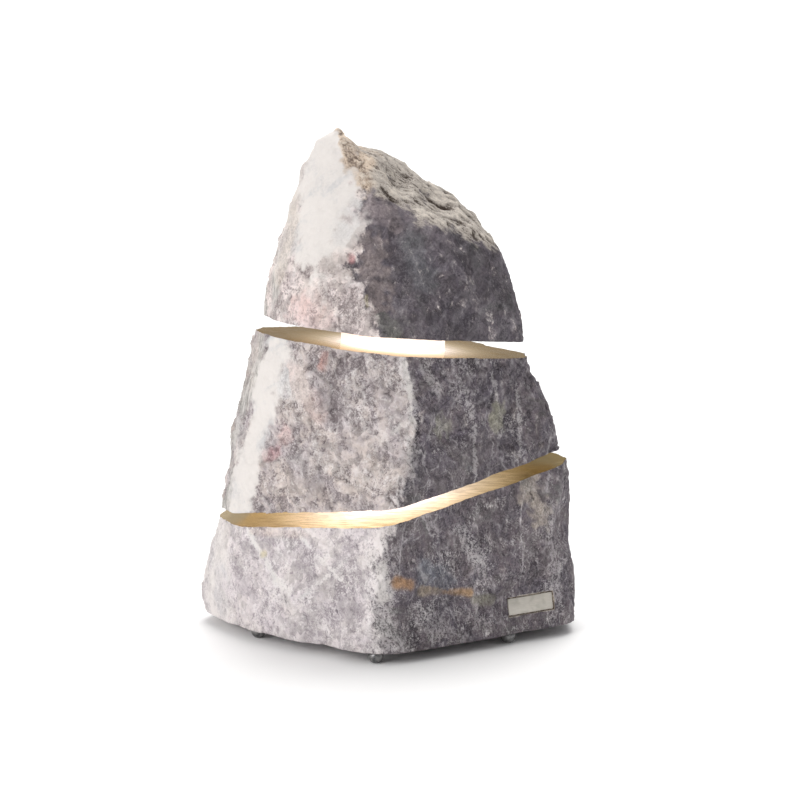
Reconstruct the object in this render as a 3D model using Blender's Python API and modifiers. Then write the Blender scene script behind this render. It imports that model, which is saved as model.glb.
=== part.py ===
# Menhir lamp: one standing boulder sawn across twice, so that three stones stand on top of each
# other with a thin open gap between them. A glowing core shows in both gaps, and the boulder
# stands on four small steel balls. Metres, +Z up, origin on the floor under the middle of the base.

import math

import bmesh
import bpy
from mathutils import Euler, Vector, noise

MM = 0.001

# The saw cuts. Each is a plane through a point of its lower face; roll climbs towards +X and
# pitch climbs towards +Y. The gap is measured square to the cut.
LOWER_CUT = {"at": (0.0, -0.128, 0.120), "roll": 10.0, "pitch": 2.5, "gap": 0.0125}
UPPER_CUT = {"at": (0.0, -0.108, 0.262), "roll": -5.3, "pitch": -1.5, "gap": 0.0135}
UNDERSIDE = {"at": (0.0, 0.0, 0.010), "roll": 0.0, "pitch": 0.0, "gap": 0.0}

# Where the boulder's own corners below are counted from: the front, left and height datum lies this
# far from the origin, which sits under the middle of the finished lamp.
DATUM = (2.45 * MM, 2.57 * MM, 0.0)

GRAIN = 10.6 * MM  # spacing of the stones' surface points
CLEARANCE = 0.3 * MM  # left between pieces that touch

CORE_RADIUS = 45 * MM
CORE_AT = (3.5 * MM, -38 * MM)
CORE_SIDES = 64

FOOT_RADIUS = 6.5 * MM
FOOT_FLAT = 2.0 * MM  # radius of the small flat that a ball stands on
FOOT_SPOTS = {
    "foot_front": (-11, -128),
    "foot_left": (-115, -39),
    "foot_right": (104, -58),
    "foot_back": (12, 108),
}

PLATE = {"width": 45.5 * MM, "height": 14.5 * MM, "depth": 1.2 * MM, "corner": 0.6 * MM}
PLATE_AT = (0.1238, -0.0508, 0.0333)  # middle of its front face, from the datum
PLATE_YAW = 30.0  # degrees, how far its face is turned from -Y towards +X
PLATE_LEAN = 8.0  # degrees, how far its face looks up
PLATE_ROLL = 1.8
POCKET_MARGIN = 1.0 * MM
PLATE_SUNK = 0.9 * MM  # how far the stone round the plate stands proud of it
PLATE_DRESSED = (46 * MM, 30 * MM)  # half width and half height of the stone dressed level round it

# Corners of the boulder at each level, in millimetres, anticlockwise seen from above and
# starting at the left. The ones with a height of their own carry it as a third number.
BASE = [
    (-165, 23), (-142, -27), (-81, -93), (-13, -140), (9, -137), (98, -70), (157, -32),
    (165, -18), (160, 40), (118, 100), (40, 134), (-60, 130), (-130, 90), (-163, 50),
]
FLANK = [
    (-173, 28, 21), (-166, 28, 46), (-163, 21, 72), (-158, 20, 85), (-145, -31, 36), (-141, -35, 69),
    (-80, -90, 60), (-14, -140, 40), (-12, -138, 75), (-9, -136, 97), (8, -136, 60),
    (94, -73, 50), (86, -79, 85), (152, -35, 60), (164, -15, 26), (160, -14, 46),
    (158, -14, 70), (158, -14, 115), (159, -15, 141), (161, 40, 60), (118, 101, 60),
    (40, 134, 60), (-60, 130, 55), (-131, 90, 55), (-164, 54, 40),
]
BELOW_LOWER_CUT = [
    (-143, 10), (-134, -38), (-77, -80), (1, -134), (14, -127), (67, -88), (124, -31),
    (155, -20), (158, -6), (141, 32), (112, 76), (60, 112), (-10, 119), (-80, 106), (-129, 64),
]
ABOVE_LOWER_CUT = [
    (-151, -12), (-139, -42), (-79, -79), (-32, -107), (5, -132), (30, -115), (53, -102),
    (88, -62), (117, -34), (137, -19), (150, -3), (136, 34), (106, 76), (58, 110), (-8, 117),
    (-76, 104), (-124, 64),
]
WAIST = [
    (-145, 4, 160), (-132, 0, 206), (-131, -46, 158), (-120, -49, 196), (-108, -51, 235),
    (-62, -97, 170), (-50, -100, 215), (14, -128, 150), (20, -125, 173), (20, -122, 192),
    (19, -117, 222), (14, -112, 242), (80, -76, 185), (76, -76, 220), (128, -40, 185),
    (153, -18, 172), (149, -18, 184), (139, -18, 203), (128, -25, 222), (140, 30, 185),
    (108, 70, 190), (55, 100, 195), (-10, 108, 200), (-70, 96, 200), (-118, 58, 200),
]
BELOW_UPPER_CUT = [
    (-112, -9), (-94, -58), (-41, -96), (10, -106), (69, -72), (118, -41), (115, -16),
    (85, 8), (56, 39), (20, 74), (-12, 86), (-48, 60), (-81, 18),
]
ABOVE_UPPER_CUT = [
    (-114, -6), (-99, -48), (-72, -81), (-28, -100), (-13, -103), (12, -97), (54, -77),
    (88, -59), (122, -40), (116, -14), (85, 11), (55, 41), (20, 73), (-12, 83), (-47, 58),
    (-81, 19),
]
SUMMIT = [
    (-112, -5, 302), (-104, -5, 329), (-98, -5, 349), (-82, -8, 392), (-74, -10, 416),
    (-67, -10, 433), (-47, -13, 450), (-91, -45, 318), (-85, -36, 352), (-60, -62, 330), (-60, -50, 378),
    (-23, -86, 320), (-30, -73, 352), (-25, -62, 379), (-25, -46, 403), (-35, -30, 420),
    (-16, -55, 392), (2, -60, 384), (22, -61, 372), (45, -55, 363), (70, -42, 352),
    (88, -25, 346), (-27, 0, 426), (8, 14, 418), (40, 21, 399), (65, 20, 380), (79, 13, 369),
    (92, -4, 351), (101, -20, 341), (108, -25, 324), (114, -30, 303), (62, -66, 330),
    (92, -45, 318), (-45, 18, 432), (-60, 40, 370), (-20, 55, 376), (25, 50, 350),
    (60, 35, 330), (-72, 25, 330), (-18, 72, 320), (92, 0, 320),
]

# Places where pieces have broken away: position, reach and depth in millimetres.
BOTTOM_SCARS = [
    (166, -15, 98, 30, 12), (164, -15, 132, 14, 4), (-172, 26, 60, 16, 3), (-12, -142, 22, 16, 3),
    (50, -108, 48, 26, 4), (100, -72, 105, 24, 5), (-60, -110, 20, 22, 4), (132, -48, 12, 20, 3),
]
MIDDLE_SCARS = [
    (20, -128, 205, 20, 4), (60, -100, 200, 28, 5), (110, -52, 222, 22, 5), (-140, -10, 150, 22, 3),
    (95, -66, 170, 24, 5), (-60, -98, 185, 26, 3), (128, -25, 232, 26, 6), (-20, -122, 150, 24, 3),
]
TOP_SCARS = [
    (-34, -86, 334, 18, 5), (108, -30, 322, 16, 3), (45, -72, 310, 24, 4), (-100, -30, 300, 18, 2),
    (-23, -3, 437, 22, 9), (40, -20, 384, 20, 4), (10, -35, 400, 16, 4), (-20, -48, 392, 10, 2),
]


def new_collection(name):
    found = bpy.data.collections.new(name)
    bpy.context.scene.collection.children.link(found)
    return found


def material(name, colour, roughness, metallic=0.0, glow=0.0):
    made = bpy.data.materials.new(name)
    made.use_nodes = True
    shader = made.node_tree.nodes["Principled BSDF"]
    shader.inputs["Base Color"].default_value = (*colour, 1.0)
    shader.inputs["Roughness"].default_value = roughness
    shader.inputs["Metallic"].default_value = metallic
    if glow:
        shader.inputs["Emission Color"].default_value = (1.0, 0.93, 0.78, 1.0)
        shader.inputs["Emission Strength"].default_value = glow
    made.diffuse_color = (*colour, 1.0)
    return made


def place(name, mesh, look, collection):
    obj = bpy.data.objects.new(name, mesh)
    obj.data.materials.append(look)
    collection.objects.link(obj)
    return obj


def slopes(cut):
    return math.tan(math.radians(cut["roll"])), math.tan(math.radians(cut["pitch"]))


def normal_of(cut):
    along, back = slopes(cut)
    return Vector((-along, -back, 1.0)).normalized()


def point_of(cut, side):
    """A point on the cut's lower face (side 0) or upper face (side 1)."""
    return Vector(cut["at"]) + normal_of(cut) * cut["gap"] * side


def height_at(cut, side, x, y):
    """Height of one face of the cut above the floor at x, y."""
    along, back = slopes(cut)
    on = point_of(cut, side)
    return on.z + (x - on.x) * along + (y - on.y) * back


def on_cut(cut, side, outline, lift=0.0):
    """An outline in millimetres laid on one face of a cut."""
    return [
        Vector((x * MM, y * MM, height_at(cut, side, x * MM, y * MM) + lift))
        for x, y in outline
    ]


def free(points):
    return [Vector(p) * MM for p in points]


def hull_mesh(name, points):
    """The smallest closed block that holds every point."""
    bm = bmesh.new()
    for p in points:
        bm.verts.new(p)
    made = bmesh.ops.convex_hull(bm, input=bm.verts[:])
    loose = {v for v in made["geom_interior"] + made["geom_unused"] if isinstance(v, bmesh.types.BMVert)}
    bmesh.ops.delete(bm, geom=[v for v in loose if not v.link_faces], context="VERTS")
    bmesh.ops.recalc_face_normals(bm, faces=bm.faces[:])
    mesh = bpy.data.meshes.new(name)
    bm.to_mesh(mesh)
    bm.free()
    return mesh


def evened(mesh, grain):
    """The same block with surface points spread evenly over it."""
    helper = bpy.data.objects.new("evened", mesh)
    bpy.context.scene.collection.objects.link(helper)
    remesh = helper.modifiers.new("even", "REMESH")
    remesh.mode = "VOXEL"
    remesh.voxel_size = grain
    graph = bpy.context.evaluated_depsgraph_get()
    result = bpy.data.meshes.new_from_object(helper.evaluated_get(graph))
    bpy.data.objects.remove(helper)
    bpy.data.meshes.remove(mesh)
    return result


def broken_skin(p, n, crusted):
    """How far the broken stone stands out from its plain block at one point, in metres."""
    swell = noise.noise(p / 0.070 + Vector((3.1, 0.7, 5.2))) * 3.2
    ledge = noise.noise(p / 0.031 + Vector((8.4, 2.6, 1.3))) * 2.2
    scoops = noise.voronoi(Vector((p.x, p.y, p.z * 0.7)) / 0.040)[0][0] * 3.0 - 1.2
    chips = noise.noise(p / 0.016 + Vector((1.9, 6.1, 4.4))) * 0.8
    tops = max(0.0, n.z - 0.35) * crusted
    pits = (noise.noise(p / 0.013) * 3.4 + noise.noise(p / 0.024) * 2.6) * tops
    return (swell + ledge + scoops + chips + pits) * MM


def weather(bm, scars, crusted):
    bm.normal_update()
    moves = []
    for v in bm.verts:
        push = broken_skin(v.co, v.normal, crusted)
        for x, y, z, reach, depth in scars:
            near = (v.co - Vector((x, y, z)) * MM).length / (reach * MM)
            if near < 1.0:
                push -= depth * MM * (1.0 - near * near)
        moves.append((v, v.normal * push))
    for v, move in moves:
        v.co += move


def plate_turn():
    return Euler((math.radians(-PLATE_LEAN), math.radians(-PLATE_ROLL), math.radians(PLATE_YAW)))


def dress_for_plate(bm):
    """Levels the stone round the plate, just proud of the plate's face."""
    turned = plate_turn().to_matrix()
    for v in bm.verts:
        seen = turned.transposed() @ (v.co - Vector(PLATE_AT))
        away = math.hypot(seen.x / PLATE_DRESSED[0], seen.z / PLATE_DRESSED[1])
        if abs(seen.y) < 25 * MM and away < 1.0:
            level = min(1.0, (1.0 - away) * 2.5)
            seen.y += (-PLATE_SUNK - seen.y) * level
            v.co = turned @ seen + Vector(PLATE_AT)


def saw(bm, cut, side, keep_above):
    """Cuts the block off at one face of a cut and closes it with a flat face."""
    at, normal = point_of(cut, side), normal_of(cut)
    for v in bm.verts:
        away = (v.co - at).dot(normal)
        if abs(away) < 0.25 * GRAIN:
            v.co -= normal * away
    made = bmesh.ops.bisect_plane(
        bm, geom=bm.verts[:] + bm.edges[:] + bm.faces[:], dist=0.02 * MM, plane_co=at,
        plane_no=normal, clear_outer=not keep_above, clear_inner=keep_above,
    )
    rim = [e for e in made["geom_cut"] if isinstance(e, bmesh.types.BMEdge)]
    bmesh.ops.holes_fill(bm, edges=rim, sides=0)


def stone(name, points, cuts, scars, crusted, look, collection):
    """A broken block of stone. Each cut is (cut, side, keep_above)."""
    mesh = evened(hull_mesh(name, points), GRAIN)
    bm = bmesh.new()
    bm.from_mesh(mesh)
    bmesh.ops.smooth_vert(bm, verts=bm.verts[:], factor=0.4, use_axis_x=True, use_axis_y=True, use_axis_z=True)
    weather(bm, scars, crusted)
    if name == "bottom_stone":
        dress_for_plate(bm)
    for cut, side, keep_above in cuts:
        saw(bm, cut, side, keep_above)
    bmesh.ops.dissolve_degenerate(bm, dist=0.05 * MM, edges=bm.edges[:])
    bmesh.ops.triangulate(bm, faces=bm.faces[:])
    bmesh.ops.recalc_face_normals(bm, faces=bm.faces[:])
    if bm.calc_volume(signed=True) < 0:
        bmesh.ops.reverse_faces(bm, faces=bm.faces[:])
    bm.to_mesh(mesh)
    bm.free()
    mesh.name = name
    return place(name, mesh, look, collection)


def core(name, cut, look, collection):
    """The part of the glowing core that stands in one gap: a short drum between the two sawn faces."""
    bm = bmesh.new()
    bmesh.ops.create_cone(
        bm, cap_ends=True, segments=CORE_SIDES, radius1=CORE_RADIUS, radius2=CORE_RADIUS, depth=1.0
    )
    for v in bm.verts:
        x, y = v.co.x + CORE_AT[0], v.co.y + CORE_AT[1]
        side = 1 if v.co.z > 0 else 0
        inset = -CLEARANCE if side else CLEARANCE
        v.co = Vector((x, y, height_at(cut, side, x, y) + inset * 1.1))
    mesh = bpy.data.meshes.new(name)
    bm.to_mesh(mesh)
    bm.free()
    mesh.shade_smooth()
    mesh.set_sharp_from_angle(angle=math.radians(30))
    return place(name, mesh, look, collection)


def foot_profile():
    """Half outline of a ball foot, from the flat under the stone down to the flat on the floor."""
    middle = math.sqrt(FOOT_RADIUS**2 - FOOT_FLAT**2)
    top = UNDERSIDE["at"][2] - CLEARANCE
    first = math.asin((top - middle) / FOOT_RADIUS)
    last = -math.acos(FOOT_FLAT / FOOT_RADIUS)
    steps = 6
    arc = [first + (last - first) * i / steps for i in range(steps + 1)]
    points = [(FOOT_RADIUS * math.cos(a), middle + FOOT_RADIUS * math.sin(a)) for a in arc]
    points[-1] = (FOOT_FLAT, 0.0)
    return [(0.0, top), *points, (0.0, 0.0)]


def foot(name, spot, look, collection):
    profile = foot_profile()
    mesh = bpy.data.meshes.new(name)
    mesh.from_pydata([(x, 0.0, z) for x, z in profile], [(i, i + 1) for i in range(len(profile) - 1)], [])
    obj = place(name, mesh, look, collection)
    obj.location = (spot[0] * MM, spot[1] * MM, 0.0)
    screw = obj.modifiers.new("turn", "SCREW")
    screw.steps = screw.render_steps = 20
    screw.use_merge_vertices = True
    screw.merge_threshold = 0.00002
    screw.use_smooth_shade = True
    return obj


def block(name, size, bevel):
    bpy.ops.mesh.primitive_cube_add(size=1)
    obj = bpy.context.object
    obj.name = obj.data.name = name
    obj.scale = size
    bpy.ops.object.transform_apply(location=False, rotation=False, scale=True)
    if bevel:
        rounded = obj.modifiers.new("edges", "BEVEL")
        rounded.width = bevel
        rounded.segments = 2
    return obj


def move_to(obj, collection):
    for held in list(obj.users_collection):
        held.objects.unlink(obj)
    collection.objects.link(obj)


def turn_to_plate(obj, outward):
    """Turns a block so its -Y side is the plate's face, moved outward from the plate's middle."""
    turned = plate_turn()
    obj.rotation_euler = turned
    obj.location = Vector(PLATE_AT) + turned.to_matrix() @ Vector((0.0, -outward, 0.0))


def plate(look, parts):
    obj = block("name_plate", (PLATE["width"], PLATE["depth"], PLATE["height"]), 0.3 * MM)
    obj.data.materials.append(look)
    turn_to_plate(obj, -PLATE["depth"] / 2)
    move_to(obj, parts)
    return obj


def pocket(host, cutters):
    """The shallow rectangular seat that is sunk into the stone for the plate."""
    floor = PLATE["depth"] + CLEARANCE
    reach = 30 * MM
    width, height = PLATE["width"] + 2 * POCKET_MARGIN, PLATE["height"] + 2 * POCKET_MARGIN
    cutter = block("plate_pocket", (width, reach, height), 0)
    turn_to_plate(cutter, reach / 2 - floor)
    cutter.hide_render = True
    cutter.display_type = "WIRE"
    move_to(cutter, cutters)
    cut = host.modifiers.new("plate_pocket", "BOOLEAN")
    cut.operation = "DIFFERENCE"
    cut.object = cutter


def build():
    for obj in list(bpy.data.objects):
        bpy.data.objects.remove(obj)
    parts, cutters = new_collection("menhir_lamp"), new_collection("cutters")
    datum = bpy.data.objects.new("datum", None)
    datum.location = DATUM
    parts.objects.link(datum)

    pale = material("bottom_marble", (0.36, 0.33, 0.34), 0.75)
    grey = material("middle_marble", (0.38, 0.35, 0.37), 0.75)
    light = material("top_marble", (0.42, 0.39, 0.38), 0.75)
    glow = material("glowing_core", (0.95, 0.90, 0.78), 0.5, glow=3.0)
    steel = material("foot_steel", (0.45, 0.45, 0.46), 0.3, metallic=1.0)
    metal = material("plate_metal", (0.62, 0.58, 0.50), 0.4, metallic=1.0)

    bottom = stone(
        "bottom_stone",
        on_cut(UNDERSIDE, 0, BASE, -12 * MM) + on_cut(UNDERSIDE, 0, BASE) + free(FLANK)
        + on_cut(LOWER_CUT, 0, BELOW_LOWER_CUT) + on_cut(LOWER_CUT, 1, BELOW_LOWER_CUT),
        [(UNDERSIDE, 0, True), (LOWER_CUT, 0, False)],
        BOTTOM_SCARS, 0.0, pale, parts,
    )
    stone(
        "middle_stone",
        on_cut(LOWER_CUT, 0, ABOVE_LOWER_CUT) + on_cut(LOWER_CUT, 1, ABOVE_LOWER_CUT) + free(WAIST)
        + on_cut(UPPER_CUT, 0, BELOW_UPPER_CUT) + on_cut(UPPER_CUT, 1, BELOW_UPPER_CUT),
        [(LOWER_CUT, 1, True), (UPPER_CUT, 0, False)],
        MIDDLE_SCARS, 0.0, grey, parts,
    )
    stone(
        "top_stone",
        on_cut(UPPER_CUT, 0, ABOVE_UPPER_CUT) + on_cut(UPPER_CUT, 1, ABOVE_UPPER_CUT) + free(SUMMIT),
        [(UPPER_CUT, 1, True)],
        TOP_SCARS, 1.0, light, parts,
    )
    core("lower_light_drum", LOWER_CUT, glow, parts)
    core("upper_light_drum", UPPER_CUT, glow, parts)
    for name, spot in FOOT_SPOTS.items():
        foot(name, spot, steel, parts)
    plate(metal, parts)
    pocket(bottom, cutters)
    for obj in [*parts.objects, *cutters.objects]:
        if obj is not datum:
            obj.parent = datum


build()
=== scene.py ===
import math

import bmesh
import bpy
from mathutils import Euler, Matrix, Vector, noise


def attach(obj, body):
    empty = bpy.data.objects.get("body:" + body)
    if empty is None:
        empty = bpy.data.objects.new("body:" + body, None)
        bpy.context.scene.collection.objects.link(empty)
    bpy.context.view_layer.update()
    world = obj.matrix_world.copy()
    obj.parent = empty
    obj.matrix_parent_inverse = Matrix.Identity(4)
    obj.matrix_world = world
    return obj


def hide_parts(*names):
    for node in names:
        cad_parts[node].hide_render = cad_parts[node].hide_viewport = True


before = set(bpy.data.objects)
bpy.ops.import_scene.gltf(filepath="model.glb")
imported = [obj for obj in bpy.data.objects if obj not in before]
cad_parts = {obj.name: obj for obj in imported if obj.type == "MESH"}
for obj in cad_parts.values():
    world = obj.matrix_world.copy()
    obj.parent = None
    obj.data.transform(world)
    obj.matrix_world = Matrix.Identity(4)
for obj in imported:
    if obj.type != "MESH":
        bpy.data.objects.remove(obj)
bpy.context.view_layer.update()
print("frame loaded:", len(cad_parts), "nodes")

mm = 0.001
weldDistance = 0.01 * mm
datum = Vector((2.45, 2.57, 0.0)) * mm  # the boulder's own measures are counted from here

# the three saw cuts, the same ones the solids were sawn along
lowerCut = {"at": (0.0, -0.128, 0.120), "roll": 10.0, "pitch": 2.5, "gap": 0.0125}
upperCut = {"at": (0.0, -0.108, 0.262), "roll": -5.3, "pitch": -1.5, "gap": 0.0135}
underside = {"at": (0.0, 0.0, 0.010), "roll": 0.0, "pitch": 0.0, "gap": 0.0}


def facePlane(cut, side):
    # a point and the upward normal of one face of a cut: 0 is its lower face, 1 its upper face
    climb = [-math.tan(math.radians(cut[way])) for way in ("roll", "pitch")]
    normal = Vector((*climb, 1.0)).normalized()
    return Vector(cut["at"]) + datum + normal * cut["gap"] * side, normal


def addToScene(name, data):
    made = bpy.data.objects.new(name, data)
    bpy.context.scene.collection.objects.link(made)
    return made


def standsFor(piece, node):
    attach(piece, "root")
    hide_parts(node)


# short ways to write shader nodes; a value may be a number, a colour or another node's output
def plug(tree, made, slot, value):
    if isinstance(value, bpy.types.NodeSocket):
        tree.links.new(value, made.inputs[slot])
    else:
        made.inputs[slot].default_value = value


def addNode(tree, kind, inputs=None, **settings):
    made = tree.nodes.new(kind)
    for name, value in settings.items():
        setattr(made, name, value)
    for slot, value in (inputs or {}).items():
        plug(tree, made, slot, value)
    return made


def mixColours(tree, amount, first, second, how="MIX"):
    made = addNode(tree, "ShaderNodeMix", data_type="RGBA", blend_type=how, clamp_factor=True)
    plug(tree, made, 0, amount)
    for slot, value in ((6, first), (7, second)):
        plug(tree, made, slot, (*value, 1.0) if isinstance(value, tuple) else value)
    return made.outputs[2]


def calc(tree, operation, first, second=0.0, third=0.0, clamp=False):
    made = addNode(tree, "ShaderNodeMath", operation=operation, use_clamp=clamp)
    for slot, value in enumerate((first, second, third)):
        plug(tree, made, slot, value)
    return made.outputs[0]


def times(tree, first, second):
    return calc(tree, "MULTIPLY", first, second)


def addShare(tree, value, share, rest):
    # value times share, added to rest
    return calc(tree, "MULTIPLY_ADD", value, share, rest)


def swayed(tree, value, sway, noiseValue):
    # value moved up and down by a noise that lies round 0.5
    return addShare(tree, calc(tree, "SUBTRACT", noiseValue, 0.5), sway, value)


def remap(tree, value, low, high, toLow=0.0, toHigh=1.0):
    made = addNode(tree, "ShaderNodeMapRange", interpolation_type="SMOOTHSTEP")
    slots = ("Value", "From Min", "From Max", "To Min", "To Max")
    for slot, given in zip(slots, (value, low, high, toLow, toHigh)):
        plug(tree, made, slot, given)
    return made.outputs["Result"]


def grainNoise(tree, where, scale, detail=5.0, roughness=0.6, distortion=0.0):
    made = addNode(tree, "ShaderNodeTexNoise", {
        "Vector": where, "Scale": scale, "Detail": detail, "Roughness": roughness,
        "Distortion": distortion})
    return made.outputs["Fac"]


def vectorCalc(tree, operation, first, second):
    return addNode(tree, "ShaderNodeVectorMath", {0: first, 1: second}, operation=operation).outputs[0]


def rippled(tree, where, size, detail, reach):
    # the place itself, pushed about by a noise
    ripple = addNode(tree, "ShaderNodeTexNoise", {"Vector": where, "Scale": size, "Detail": detail})
    ripple = addNode(tree, "ShaderNodeVectorMath", {0: ripple.outputs["Color"]}, operation="SCALE")
    ripple.inputs["Scale"].default_value = reach
    return vectorCalc(tree, "ADD", where, ripple.outputs[0])


def stretched(tree, where, scale, rotation=(0.0, 0.0, 0.0)):
    turned = addNode(tree, "ShaderNodeMapping", {"Vector": where})
    turned.inputs["Rotation"].default_value = [math.radians(a) for a in rotation]
    made = addNode(tree, "ShaderNodeMapping", {"Vector": turned.outputs[0]})
    made.inputs["Scale"].default_value = scale
    return made.outputs[0]


def bumpInto(tree, shader, height, strength, depth):
    bump = addNode(tree, "ShaderNodeBump", {"Height": height, "Strength": strength})
    bump.inputs["Distance"].default_value = depth
    tree.links.new(bump.outputs[0], shader.inputs["Normal"])


def newMaterial(name):
    made = bpy.data.materials.new(name)
    made.use_nodes = True
    tree = made.node_tree
    shader = tree.nodes["Principled BSDF"]
    where = addNode(tree, "ShaderNodeTexCoord").outputs["Object"]
    return made, tree, shader, where


# one marble for the whole boulder; each stone changes a few of these
marble = {
    # dark colours: partly the marble's own, partly painted shade for the right-hand faces
    "dark": (0.170, 0.150, 0.172), "darkWarm": (0.200, 0.172, 0.176), "darkDeep": (0.045, 0.037, 0.044),
    "darkCool": (0.165, 0.168, 0.160), "darkContrast": 1.0, "darkSnow": 0.6,
    "pale": (0.40, 0.355, 0.365), "paleWarm": (0.50, 0.435, 0.405), "paleDeep": (0.165, 0.135, 0.142),
    "snow": (0.80, 0.765, 0.76), "snowAmount": 0.8, "crystals": 0.6,
    "white": (0.69, 0.655, 0.63), "whiteShade": (0.575, 0.565, 0.565),
    "crust": (0.67, 0.54, 0.425), "crustGrey": (0.45, 0.405, 0.362), "crustDeep": (0.060, 0.042, 0.032),
    "crustLight": (0.66, 0.595, 0.52), "ridge": (0.15, 0.108, 0.085),
    "flankLow": (0.24, 0.235, 0.215), "flankHigh": (0.64, 0.615, 0.59), "flank": 1.0,
    "vein": (0.52, 0.49, 0.505), "veinAmount": 0.7, "veinBend": 0.007, "streaks": 0.0,
    "grainAndHollowShade": 0.85, "fields": 0.26, "tone": 0.96, "faceSize": 130.0, "faceRipple": 0.006,
    "gloss": (0.85, 0.62), "specular": 0.35, "polish": 0.75, "bumpStrength": 0.9, "bumpDepth": 1.2 * mm,
}

# the marble's noises: cells per metre, detail, roughness, distortion
evenGrains = {"fine": (640, 3, 0.75), "clouds": (26, 6, 0.62, 0.7), "drifts": (44, 4, 0.6, 0.9)}
uprightGrains = {"grain": (290, 5, 0.75, 0.4), "lumps": (100, 6, 0.7, 0.6), "patches": (52, 5, 0.6, 0.8)}

# kind, size in cells per metre, upright stretch, turn, width of the line, threshold, strength
veinFamilies = [
    ("wisp", 13.0, 0.15, (0.0, 8.0, 0.0), 0.0060, 0.40, 0.9),
    ("wisp", 17.0, 0.20, (0.0, -40.0, 20.0), 0.0070, 0.42, 0.8),
    ("wisp", 21.0, 0.24, (25.0, 46.0, 0.0), 0.0085, 0.44, 0.7),
    ("web", 34.0, 0.55, (20.0, 14.0, 0.0), 0.020, 0.50, 0.45),
    ("web", 90.0, 0.80, (0.0, 30.0, 10.0), 0.050, 0.50, 0.5),
    ("web", 62.0, 0.70, (0.0, -25.0, 0.0), 0.12, 0.42, 0.42),
]


def marbleNoises(tree, where, look):
    upright = stretched(tree, where, (1.0, 1.0, 0.62), (0.0, 14.0, 0.0))
    n = {name: grainNoise(tree, where, *grain) for name, grain in evenGrains.items()}
    n.update({name: grainNoise(tree, upright, *grain) for name, grain in uprightGrains.items()})
    slanted = stretched(tree, where, (1.0, 1.0, 0.7), (0.0, 20.0, 0.0))
    n["fields"] = grainNoise(tree, slanted, 17, 6, 0.62, 0.9)

    # broken crystal faces: each has a tone and a direction of fine strokes of its own
    faces = {"Vector": rippled(tree, where, 90.0, 4.0, look["faceRipple"]), "Scale": look["faceSize"]}
    faces = addNode(tree, "ShaderNodeTexVoronoi", faces, feature="F1")
    n["faceKey"] = addNode(tree, "ShaderNodeSeparateColor", {"Color": faces.outputs["Color"]})
    along = stretched(tree, where, (620.0, 620.0, 130.0), (0.0, 36.0, 0.0))
    across = stretched(tree, where, (560.0, 560.0, 120.0), (0.0, -48.0, 24.0))
    strokes, crossing = [grainNoise(tree, way, 1.0, 4, 0.7) for way in (along, across)]
    turned = remap(tree, n["faceKey"].outputs[0], 0.45, 0.55)
    n["strokes"] = addShare(tree, turned, calc(tree, "SUBTRACT", crossing, strokes), strokes)

    speckle = addShare(tree, n["fine"], 0.32, times(tree, n["grain"], 0.24))
    speckle = addShare(tree, n["lumps"], 0.12, speckle)
    n["speckle"] = addShare(tree, n["strokes"], 0.32, speckle)
    return n


def paleAndDark(tree, where, look, n, paleZone):
    # pale and dark rock, each in two hues that drift into each other; the dark rock on the right-hand faces
    # is partly the marble's own darker colour and partly painted shade for the side turned away from the
    # light
    drift = remap(tree, addShare(tree, n["lumps"], 0.35, times(tree, n["clouds"], 0.65)), 0.40, 0.60)
    darkAndShadedRock = mixColours(tree, drift, look["dark"], look["darkWarm"])
    darkAndShadedRock = mixColours(tree, remap(tree, n["clouds"], 0.54, 0.68, 0.0, 0.6), darkAndShadedRock, look["darkCool"])
    sheets = stretched(tree, where, (30.0, 30.0, 78.0), (0.0, 58.0, 0.0))
    sheets = remap(tree, grainNoise(tree, sheets, 1.0, 5, 0.62, 1.2), 0.47, 0.64, 0.0, look["streaks"])
    darkAndShadedRock = mixColours(tree, sheets, darkAndShadedRock, look["vein"])
    paleRock = mixColours(tree, drift, look["pale"], look["paleWarm"])
    edge = swayed(tree, swayed(tree, paleZone, 1.6, n["grain"]), 2.2, n["lumps"])
    pale = remap(tree, edge, 0.18, 0.82)
    rock = mixColours(tree, pale, darkAndShadedRock, paleRock)
    tones = addShare(tree, n["fields"], 0.45, times(tree, n["patches"], 0.40))
    tones = addShare(tree, n["faceKey"].outputs[1], 0.15, tones)
    low, high = 1.0 - look["fields"], 1.0 + look["fields"]
    tones = mixColours(tree, remap(tree, tones, 0.40, 0.60), (low,) * 3, (high,) * 3)
    return mixColours(tree, 1.0, rock, tones, "MULTIPLY"), pale


def withGrainsAndHollowShade(tree, rock, look, n, pale, relief):
    # dark grains between the crystals, and painted shade in the hollows: the colour darkens where the
    # chipped surface lies low
    level = swayed(tree, swayed(tree, n["speckle"], 0.18, relief), 0.22, n["clouds"])
    grainAndHollowDark = times(tree, remap(tree, level, 0.385, 0.52, look["grainAndHollowShade"], 0.0),
                   remap(tree, pale, 0.0, 1.0, look["darkContrast"], 1.0))
    return mixColours(tree, grainAndHollowDark, rock, mixColours(tree, pale, look["darkDeep"], look["paleDeep"]))


def withSnow(tree, rock, look, n, pale, seam):
    # fine white crystals in drifts
    flakes = addShare(tree, n["grain"], 0.5, times(tree, n["fine"], 0.5))
    flakes = remap(tree, addShare(tree, seam, 0.085, flakes), 0.50, 0.585)
    drifts = calc(tree, "MAXIMUM", remap(tree, n["drifts"], 0.44, 0.62), seam)
    snow = times(tree, flakes, addShare(tree, drifts, 0.8, 0.2))
    crystals = times(tree, remap(tree, n["lumps"], 0.53, 0.60), remap(tree, n["strokes"], 0.46, 0.58))
    crystals = times(tree, times(tree, crystals, drifts), look["crystals"])
    snow = calc(tree, "MAXIMUM", snow, crystals)
    snow = times(tree, snow, remap(tree, pale, 0.0, 1.0, look["darkSnow"], 1.0))
    return mixColours(tree, times(tree, snow, look["snowAmount"]), rock, look["snow"])


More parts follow.
